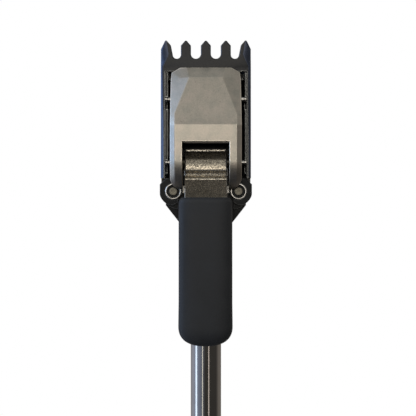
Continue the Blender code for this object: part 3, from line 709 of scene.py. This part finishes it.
# %% Jaw pad
def make_pad():
    low, high = (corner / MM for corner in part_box("jaw_pad"))
    grooves = []
    for number in range(9):
        x = low.x + (number + 1) * (high.x - low.x) / 10
        grooves.append(block((x - 0.4, x + 0.4), (low.y - 1, high.y + 1), (high.z - 0.5, high.z + 1)))
    shape = carve(block((low.x, high.x), (low.y, high.y), (low.z, high.z)), cut=grooves)
    soften(shape, 0.12, 28, 2)
    finished("ribbed_jaw_pad", shape, "jaw", ["jaw_pad"], RUBBER)


make_pad()

# %% [markdown]
# ## The lever
#
# The lever's barrel turns on the pivot pin. Under it a spiral cam bears on the anvil, and its radius
# falls by the jaw's stroke over a quarter turn. The arm leaves the barrel below a groove. All of that
# is one outline, seen from the side, which is given the barrel's width.

# %% The lever's side outline
BARREL, CAM_HIGH, CAM_LOW = 7.2, 11.0, 6.0
NOSE, NOSE_RISE, NOSE_SINK = 10.3, 8.7, 1.6
BULGE, BULGE_Y, BULGE_Z = 13, 1.9, -5
ARM_FRONT, ARM_BACK, ARM_TOP, GRIP_TOP = -23.2, -17.5, 377.9, 365.2
BARREL_HALF, ARM_HALF = 12.45, 12.85


def cam_points(steps=40):
    """The cam from straight down round to the back. Its lift falls evenly over the quarter turn."""
    slope = -STROKE / (math.pi / 2)
    points = []
    for number in range(steps + 1):
        turn = math.pi / 2 * number / steps
        lift = CAM_HIGH + slope * turn
        points.append((
            lift * math.sin(turn) + slope * math.cos(turn), -lift * math.cos(turn) + slope * math.sin(turn)
        ))
    return points


def barrel_outline():
    """The barrel round the pin: a small lip on top, an oval nose, a bulging front and the groove."""
    flat_end = math.degrees(math.acos(CAM_LOW / BARREL))
    outline = [(ARM_BACK - 1 - PIN_Y, -CAM_HIGH)] + cam_points() + arc((0, 0), BARREL, flat_end, 88, 14)
    outline += [(-0.5, 7.7), (-1.2, 8.0), (-2.0, 7.9), (-2.3, 7.6), (-2.35, 6.8)]
    for number in range(17):
        turn = math.radians(106 + 63 * number / 16)
        outline.append((NOSE * math.cos(turn), NOSE_RISE * math.sin(turn) - NOSE_SINK))
    for z in (-0.8, -1.8, -2.8, -3.8, -4.8):
        outline.append((BULGE_Y - math.sqrt(BULGE ** 2 - (z - BULGE_Z) ** 2), z))
    outline += [(-10.9, -5.5), (-10.4, -5.9), (-9.4, -6.1), (-8.6, -6.6), (-8.3, -7.2), (-8.2, -8.2)]
    return [(PIN_Y + y, PIVOT_Z + z) for y, z in outline]


def arm_outline():
    """The arm below the groove. Its face leans back a little on the way down to the sleeve."""
    round_top = arc((ARM_FRONT + 2.2, ARM_TOP - 2.2), 2.2, 80, 176, 12)
    return [(ARM_BACK, GRIP_TOP), (ARM_BACK, PIVOT_Z - 4), (ARM_BACK - 1.5, ARM_TOP)] + round_top + [
        (ARM_FRONT + 2.6, GRIP_TOP),
    ]


# %% Make the lever
def make_lever():
    shape = carve(
        slab(barrel_outline(), "X", -BARREL_HALF, BARREL_HALF),
        add=[
            slab(arm_outline(), "X", -ARM_HALF, ARM_HALF),
            block((-10, 10), (-20.6, -18), (290, GRIP_TOP + 2)),
        ],
        cut=[bar("X", (PIN_Y, PIVOT_Z), PIN_BORE, -30, 30, 32)],
    )
    soften(shape, 0.7, 60, 3, where=lambda p: abs(p.x) > 12 and p.z > GRIP_TOP + 0.2)
    finished("cast_lever", shape, "lever", ["lever"], NICKEL, 11)


make_lever()

# %% [markdown]
# ## The lever's sleeve
#
# The sleeve is a thick rubber moulding that fills the palm. Its section is a soft rectangle, which a
# superellipse gives with one formula: a power of 2 is an ellipse, and a higher one is squarer. The
# sections shrink at the lower end along another such curve, and a little at the shoulder.

# %% Sleeve
SLEEVE_POWER, SLEEVE_OFFSET = 3.4, -0.2


def sleeve_section(height, half_x, half_y, middle_y, points=72):
    """One level of the sleeve, as a superellipse set slightly to the left."""
    row = []
    for number in range(points):
        turn = math.tau * number / points
        across, deep = math.cos(turn), math.sin(turn)
        x = half_x * math.copysign(abs(across) ** (2 / SLEEVE_POWER), across)
        y = half_y * math.copysign(abs(deep) ** (2 / SLEEVE_POWER), deep)
        row.append((x + SLEEVE_OFFSET, middle_y + y, height))
    return row


def make_sleeve():
    low, high = (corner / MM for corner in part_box("lever_grip"))
    middle, half_x, half_y = (low.y + high.y) / 2, (high.x - low.x) / 2, (high.y - low.y) / 2
    end, power, shoulder = 11.6, 2.4, 3.4
    rows = []
    for number in range(15):
        share = math.sin(math.radians(90 * number / 14))
        left = (1 - share ** power) ** (1 / power) if number < 14 else 0
        wide, deep = 0.08 + 0.92 * left, 0.45 + 0.55 * left
        rows.append(sleeve_section(low.z + end * (1 - share), half_x * wide, half_y * deep, middle))
    rows.reverse()
    for share in (0.2, 0.4, 0.6, 0.8):
        height = low.z + end + (high.z - shoulder - low.z - end) * share
        waist = 0.15 * math.sin(math.pi * share)
        rows.append(sleeve_section(height, half_x - 0.1 - waist, half_y, middle))
    for number in range(9):
        turn = math.radians(90 * number / 8)
        drop = shoulder * (1 - math.cos(turn))
        height = high.z - shoulder + shoulder * math.sin(turn)
        rows.append(sleeve_section(height, half_x - 0.2 - drop * 0.9, half_y - drop * 0.5, middle))
    pocket = block((-10.3, 10.3), (-20.9, -17.7), (289.7, high.z + 5))
    shape = carve(loft(rows), cut=[pocket])
    finished("lever_sleeve", shape, "lever", ["lever_grip"], RUBBER, 50)


make_sleeve()

# %% [markdown]
# ## The socket and its lugs
#
# A moulded socket joins the pole to the head. Two round lugs lap over the rails' lower ends, each with
# a bright eyelet and a screw, and behind them a flat web narrows to a collar round the tube.

# %% Outlines of the lug and the web
EYE_X, EYE_Z, EYE_RADIUS = 19.65, 368.9, 4.8
LUG_FRONT, LUG_BACK, WEB_FRONT = -19.0, -12.3, -13.9
COLLAR, BORE, TUBE_PIN_Z = 12.0, 9.8, 333


def lug_outline():
    """The right lug. Its outer edge runs round the eyelet, and its inner edge clears the sleeve."""
    return [
        (27.75, 373.2), (27.75, 367.0), (27.3, 365.5), (26.5, 364.1), (25.3, 362.7), (23.8, 361.5),
        (22.2, 360.8), (20.2, 360.7), (18.6, 361.3), (16.9, 362.4), (16.9, 365.4), (14.2, 367.4),
        (14.2, 376.6), (24.0, 376.6),
    ]


def step_outline():
    """A thinner step that carries the lug down to the web."""
    return [(25.0, 368), (25.0, 362.4), (22.4, 360.1), (20.2, 359.0), (17.0, 358.2), (17.0, 368)]


def web_outline():
    right = [(12, 345), (16.1, 350), (24.4, 360.6), (24.4, 368), (12.5, 368), (12.5, 360), (8, 357)]
    return right + mirrored(right)


# %% Make the socket
def make_socket():
    steps = 72
    lower = [(x, y, 343) for x, y in arc((0, 0), COLLAR - 0.05, 0, 360, steps)[:-1]]
    upper = []
    for number in range(steps):
        turn = math.tau * number / steps
        scale = 1 / max(abs(math.cos(turn)), abs(math.sin(turn)))
        y = math.sin(turn) * scale * 11
        upper.append((math.cos(turn) * scale * 24.0, max(y, -13.5), 360.6))
    low_web = web_outline()[:3] + mirrored(web_outline()[:3])
    cuts = [bar("Z", (0, 0), BORE, 310, 353, 64), bar("X", (0, TUBE_PIN_Z), PIN_BORE, -20, 20, 32)]
    for side in (1, -1):
        cuts.append(bar("Y", (side * EYE_X, EYE_Z), EYE_RADIUS + 0.3, -25, LUG_FRONT + 1, 48))
        cuts.append(bar("Y", (side * EYE_X, EYE_Z), PIN_BORE, -25, -5, 32))
    shape = carve(
        bar("Z", (0, 0), COLLAR, 322, 350, 72),
        add=[
            loft([lower, upper]),
            slab(low_web, "Y", WEB_FRONT, -8),
            slab(web_outline(), "Y", WEB_FRONT, LUG_BACK + 0.2),
            slab(lug_outline(), "Y", LUG_FRONT, LUG_BACK),
            slab(mirrored(lug_outline()), "Y", LUG_FRONT, LUG_BACK),
            slab(step_outline(), "Y", -16.2, LUG_BACK),
            slab(mirrored(step_outline()), "Y", -16.2, LUG_BACK),
        ],
        cut=cuts,
    )
    soften(shape, 0.6, 30, 3, where=lambda p: p.y < LUG_FRONT + 0.05 and abs(abs(p.x) - EYE_X) > 5.3)
    finished("pole_socket_moulding", shape, "frame", ["pole_socket"], NYLON, 35)


make_socket()


# %% [markdown]
# Eyelets, pins, bushes and screws are turned parts. Each has its own short profile with a chamfer,
# because it is that narrow ring of chamfer that glints.

# %% Eyelets and lug screws
def chamfered_ring(outer, inner, low, high, cut):
    """The profile of a ring with a chamfer on all four edges."""
    return [
        (inner, low + cut), (inner + cut, low), (outer - cut, low), (outer, low + cut),
        (outer, high - cut), (outer - cut, high), (inner + cut, high), (inner, high - cut),
    ]


def make_lug_fittings(side, label):
    centre = (side * EYE_X, EYE_Z)
    profile = chamfered_ring(EYE_RADIUS, EYE_RADIUS - 0.9, LUG_FRONT - 0.5, LUG_FRONT + 0.7, 0.28)
    shape = lathe(profile, "Y", centre, 64)
    finished(f"eyelet_{label}", shape, "frame", [f"lug_eyelet_{label}"], STEEL)
    front = LUG_FRONT - 0.4
    profile = [
        (0, front), (2.1, front), (2.4, front + 0.15), (2.5, front + 0.45), (2.5, LUG_FRONT + 0.7),
        (1.5, LUG_FRONT + 0.7), (1.5, -4.9), (1.2, -4.5), (0, -4.5),
    ]
    hexagon = arc(centre, 1.3, 0, 360, 6)[:-1]
    shape = carve(lathe(profile, "Y", centre, 48), cut=[slab(hexagon, "Y", front - 1, front + 0.9)])
    node = f"lug_screw_{label}"
    finished(node + "_turned", shape, "frame", [node], DARK_STEEL)


for side, label in SIDES:
    make_lug_fittings(side, label)


# %% [markdown]
# The back's screws have low flat heads with a hexagon socket. All six have one shape, so a loop makes
# them, and each takes its place and length from its own node's box.

# %% Screws in the back
def make_back_screw(node):
    low, high = (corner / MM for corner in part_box(node))
    centre = ((low.x + high.x) / 2, (low.z + high.z) / 2)
    seat, radius = high.y - 1.6, (high.x - low.x) / 2
    profile = [
        (0, low.y), (0.65, low.y), (0.9, low.y + 0.3), (0.9, seat), (radius - 0.2, seat),
        (radius, seat + 0.2), (radius, high.y - 0.3), (radius - 0.3, high.y), (0, high.y),
    ]
    hexagon = arc(centre, 0.95, 0, 360, 6)[:-1]
    shape = carve(
        lathe(profile, "Y", centre, 40), cut=[slab(hexagon, "Y", high.y - 0.9, high.y + 2)],
    )
    finished(node + "_turned", shape, "frame", [node], STEEL)


for node in sorted(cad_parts):
    if node.startswith(("plate_screw", "anvil_screw")):
        make_back_screw(node)


# %% [markdown]
# The parts along the cross pins differ only in length and bore, so one function turns them all. The
# bushes are what shows as bright spots beside the jaw.

# %% Cross pins, bushes and spacers
def make_cross_part(node, body, bore, material=STEEL):
    """A pin, or a sleeve if it has a bore, turned about its own line along X."""
    low, high = (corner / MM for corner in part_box(node))
    centre = ((low.y + high.y) / 2, (low.z + high.z) / 2)
    radius = (high.z - low.z) / 2
    if bore:
        profile = chamfered_ring(radius, bore, low.x, high.x, 0.15)
    else:
        edge = 0.3
        profile = [
            (0, low.x), (radius - edge, low.x), (radius, low.x + edge),
            (radius, high.x - edge), (radius - edge, high.x), (0, high.x),
        ]
    shape = lathe(profile, "X", centre, 48)
    finished(node + "_turned", shape, body, [node], material)


for node in ("guide_pin", "pivot_pin"):
    make_cross_part(node, "jaw", 0)
make_cross_part("tube_pin", "frame", 0)
for side, label in SIDES:
    for level in ("upper", "lower"):
        make_cross_part(f"guide_bush_{level}_{label}", "jaw", PIN_BORE)
    make_cross_part(f"pivot_spacer_{label}", "jaw", PIN_BORE, DARK_STEEL)


# %% [markdown]
# ## Return springs
#
# A spin with an offset for each step draws a coil, so a spring is one small circle of wire, spun. Its
# last turns lie flat on the real part. The spring stretches when the jaw slides down, so it is put on
# neither the frame nor the jaw.

# %% Springs and their rods
def make_spring(side, label):
    low, high = (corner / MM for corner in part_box(f"return_spring_{label}"))
    wire, turns, per_turn = 0.4, 6, 28
    radius = (high.x - low.x) / 2 - wire
    rise = (high.z - low.z - 2 * wire) / (turns * per_turn)
    centre = Vector((side * SPRING_X * MM, SPRING_Y * MM, 0))
    shape = bmesh.new()
    start = Matrix.Translation(centre + Vector((radius * MM, 0, (low.z + wire) * MM)))
    upright = start @ Matrix.Rotation(math.pi / 2, 4, "X")
    section = bmesh.ops.create_circle(
        shape, cap_ends=True, segments=10, radius=wire * MM, matrix=upright,
    )
    face = section["verts"][0].link_faces[0]
    bmesh.ops.spin(
        shape, geom=[face], axis=(0, 0, 1), cent=centre, dvec=(0, 0, rise * MM),
        angle=math.tau * turns, steps=turns * per_turn,
    )
    bmesh.ops.holes_fill(shape, edges=shape.edges)
    bmesh.ops.recalc_face_normals(shape, faces=shape.faces)
    item = as_object(f"return_coil_{label}", shape)
    item.data.materials.append(STEEL)
    item.data.shade_smooth()
    item.data.set_sharp_from_angle(angle=math.radians(50))
    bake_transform(item)
    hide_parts(f"return_spring_{label}")
    print(f"{item.name}: {len(item.data.polygons)} faces, blending from frame to jaw")


def make_spring_rod(side, label):
    """The pin inside a spring, with a head at the top."""
    low, high = (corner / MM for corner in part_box(f"spring_rod_{label}"))
    neck = high.z - 1.6
    profile = [
        (0, low.z), (0.8, low.z), (1.1, low.z + 0.4), (1.1, neck),
        (2.3, neck), (2.3, high.z - 0.6), (1.7, high.z), (0, high.z),
    ]
    shape = lathe(profile, "Z", (side * SPRING_X, SPRING_Y), 40)
    finished(f"spring_guide_{label}", shape, "frame", [f"spring_rod_{label}"], STEEL)


for side, label in SIDES:
    make_spring(side, label)
    make_spring_rod(side, label)


# %% [markdown]
# ## The anvil
#
# The cam bears on a steel block across the head. Its nose has a shallow dish, 40 mm in radius, so that
# the cam rubs along a band. A cylinder cut out of the block gives the dish its true curve.

# %% Anvil
def make_anvil():
    low, high = (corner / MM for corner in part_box("cam_anvil"))
    dish, dip = 40, 0.6
    holes = [bar("X", (PIN_Y, high.z + dish - dip), dish, -8, 8, 128)]
    for side in (1, -1):
        holes.append(bar("Y", (side * EYE_X, EYE_Z), PIN_BORE, -20, -4, 32))
        holes.append(bar("Y", (side * ANVIL_SCREW_X, LOW_SCREW_Z), 1.55, -9, 2, 32))
    nose = block((-11, 11), (low.y, -6), (366.5, high.z))
    shape = carve(block((low.x, high.x), (-11.9, high.y), (low.z, 372.5)), add=[nose], cut=holes)
    soften(shape, 0.3, 40, 2)
    finished("steel_cam_anvil", shape, "frame", ["cam_anvil"], STEEL)


make_anvil()

# %% [markdown]
# ## The pole and its rear grip
#
# The pole is a plain chromed tube, so only its ends and its pin hole need care. The rear grip is a
# turned rubber sleeve with rounded ribs, and a nylon plug closes the tube's end.

# %% Tube
def make_tube():
    low, high = (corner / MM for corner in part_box("tube"))
    radius = (high.x - low.x) / 2
    profile = chamfered_ring(radius, radius - 1.2, low.z, high.z, 0.3)
    hole = bar("X", (0, TUBE_PIN_Z), PIN_BORE, -20, 20, 32)
    shape = carve(lathe(profile, "Z", (0, 0), 128), cut=[hole])
    finished("chromed_tube", shape, "frame", ["tube"], CHROME, 30)


make_tube()


# %% Rear grip
def make_rear_grip():
    low, high = (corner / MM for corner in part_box("rear_grip"))
    radius, depth, pitch = (high.x - low.x) / 2, 1.3, 8.0
    profile = [(BORE, low.z), (radius - 1, low.z), (radius, low.z + 1)]
    ribs = int((high.z - low.z - 14) / pitch)
    for number in range(ribs):
        start = low.z + 6 + number * pitch
        for step in range(13):
            share = step / 12
            dip = depth * math.sin(math.pi * share) ** 2
            profile.append((radius - dip, start + pitch * (0.15 + 0.7 * share)))
    collar = arc((radius - 2.5, high.z - 2.5), 2.5, 0, 90, 10)
    profile += collar + [(BORE, high.z)]
    shape = lathe(profile, "Z", (0, 0), 96)
    finished("ribbed_rear_grip", shape, "frame", ["rear_grip"], RUBBER, 45)


make_rear_grip()


# %% End plug
def make_plug():
    low, high = (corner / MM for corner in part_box("end_plug"))
    radius, flange, stem = (high.x - low.x) / 2, 3.0, 8.0
    dish = [(0, 0), (radius - 3.2, 0), (radius - 1.0, 0)] + arc((radius - 0.8, 0.8), 0.8, -90, 0, 6)
    profile = dish + [
        (radius, flange - 0.3), (radius - 0.3, flange), (stem, flange), (stem, high.z - 1),
        (stem - 1, high.z), (0, high.z),
    ]
    finished("rear_end_plug", lathe(profile, "Z", (0, 0), 96), "frame", ["end_plug"], NYLON)


make_plug()

# %% [markdown]
# ## Floor, lights and camera
#
# The metal only looks like metal if it has something to reflect, and the chrome needs dark bands too,
# so the room is dark apart from its panels. The floor could reflect as well, but being pale it would
# fill the dark bands, so it is hidden from reflections. The backdrop is white to the camera alone.

# %% Floor and backdrop
def make_floor():
    shape = bmesh.new()
    bmesh.ops.create_grid(shape, x_segments=1, y_segments=1, size=0.25)
    floor = as_object("floor", shape)
    material, tree, shader = new_finish("pale floor", 0.0)
    feed(tree, shader.inputs["Base Color"], ramp(tree, noise(tree, object_point(tree), 8), [
        (0.3, (0.62, 0.61, 0.59)), (0.7, (0.68, 0.67, 0.65)),
    ]))
    shader.inputs["Roughness"].default_value = 0.7
    floor.data.materials.append(material)
    floor.visible_glossy = False


make_floor()


def make_world():
    """White to the camera, and otherwise a room that is dark below, paler above and blue to the left."""
    world = bpy.data.worlds.new("studio")
    bpy.context.scene.world = world
    world.use_nodes = True
    tree = world.node_tree
    room = tree.nodes["Background"]
    toward = add(tree, "SeparateXYZ", {"Vector": add(tree, "TexCoord", {}).outputs["Generated"]})
    level = add(tree, "MapRange", {"Value": toward.outputs["Z"], "From Min": -1.0, "From Max": 1.0})
    shade = ramp(tree, level.outputs["Result"], [
        (0.0, (0.02, 0.021, 0.024)), (0.47, (0.048, 0.044, 0.038)), (0.56, (0.14, 0.135, 0.13)),
        (0.75, (0.42, 0.41, 0.385)), (1.0, (0.44, 0.45, 0.43)),
    ])
    across = add(tree, "MapRange", {"Value": toward.outputs["X"], "From Min": -1.0, "From Max": 1.0})
    left = ramp(tree, across.outputs["Result"], [
        (0.0, (0.22, 0.26, 0.36)), (0.3, (0.06, 0.07, 0.10)), (0.45, 0.0),
    ])
    away = add(tree, "MapRange", {"Value": toward.outputs["Y"], "From Min": -0.1, "From Max": 0.4})
    back = ramp(tree, away.outputs["Result"], [(0.0, 0.0), (1.0, (0.13, 0.115, 0.10))])
    feed(tree, room.inputs["Color"], mix(tree, 1.0, mix(tree, 1.0, shade, left, "ADD"), back, "ADD"))
    backdrop = add(tree, "Background", {"Color": (1, 1, 1, 1), "Strength": 1.0})
    sight = add(tree, "LightPath", {}).outputs["Is Camera Ray"]
    joined = add(tree, "MixShader", {0: sight, 1: room.outputs[0], 2: backdrop.outputs[0]})
    tree.links.new(joined.outputs[0], tree.nodes["World Output"].inputs["Surface"])


make_world()


# %% [markdown]
# A tall cool panel to the left stands for a window, with a lower one under it. A wide warm panel is the
# room behind the viewer. Two warm strips reach the lower facets, a weak panel fills the far side, and
# two thin ones catch rounded edges. Point lights would be simpler, but they leave only dots in metal.

# %% Lights
def panel(name, spot, aim, size, glow, colour):
    """An area light at a spot, facing an aim, with its size in metres. Glow is how bright it looks."""
    light = bpy.data.lights.new(name, "AREA")
    light.shape = "RECTANGLE"
    light.size, light.size_y = size
    light.energy = glow * math.pi * size[0] * size[1]
    light.color = colour
    item = bpy.data.objects.new(name, light)
    bpy.context.scene.collection.objects.link(item)
    item.location = spot
    item.rotation_euler = (Vector(aim) - Vector(spot)).to_track_quat("-Z", "Y").to_euler()


HEAD = Vector((0, -0.02, 0.40))


def around(azimuth, elevation, distance):
    """A spot at an angle from the viewer's side, positive to the right, and a height angle."""
    a, e = math.radians(azimuth), math.radians(elevation)
    return HEAD + distance * Vector((math.sin(a) * math.cos(e), -math.cos(a) * math.cos(e), math.sin(e)))


panel("window", around(-82, 16, 0.9), HEAD, (0.5, 0.66), 2.25, (0.42, 0.64, 1.0))
panel("lower window", around(-79, -26, 0.9), HEAD, (0.22, 0.6), 1.5, (0.70, 0.84, 1.0))
panel("room behind the viewer", around(-3, 10, 1.0), HEAD, (0.8, 0.42), 2.1, (1.0, 0.93, 0.82))
panel("warm strip left", around(-26, -21, 1.0), HEAD, (0.085, 0.34), 1.0, (1.0, 0.96, 0.78))
panel("warm strip right", around(22, -21, 1.0), HEAD, (0.085, 0.34), 0.9, (1.0, 0.88, 0.78))
panel("far side", around(78, 8, 0.9), HEAD, (0.35, 0.5), 0.25, (1.0, 0.90, 0.82))
for side in (-1, 1):
    panel("edge light", around(side * 37, 8, 1.0), HEAD, (0.05, 0.35), 1.4, (1.0, 0.93, 0.78))
print("eight panels light the head")


# %% [markdown]
# The camera looks straight at the front from 45 cm, so near that the jaw, which stands forward, looks a
# little larger than it is. The Standard view keeps the colours as they are set.

# %% Camera
def make_camera():
    lens = bpy.data.cameras.new("camera")
    lens.lens = 62
    camera = bpy.data.objects.new("camera", lens)
    bpy.context.scene.collection.objects.link(camera)
    camera.location = (0.0013, -0.45, 0.3589)
    camera.rotation_euler = (math.radians(90), 0, 0)
    bpy.context.scene.camera = camera
    bpy.context.scene.view_settings.view_transform = "Standard"


make_camera()
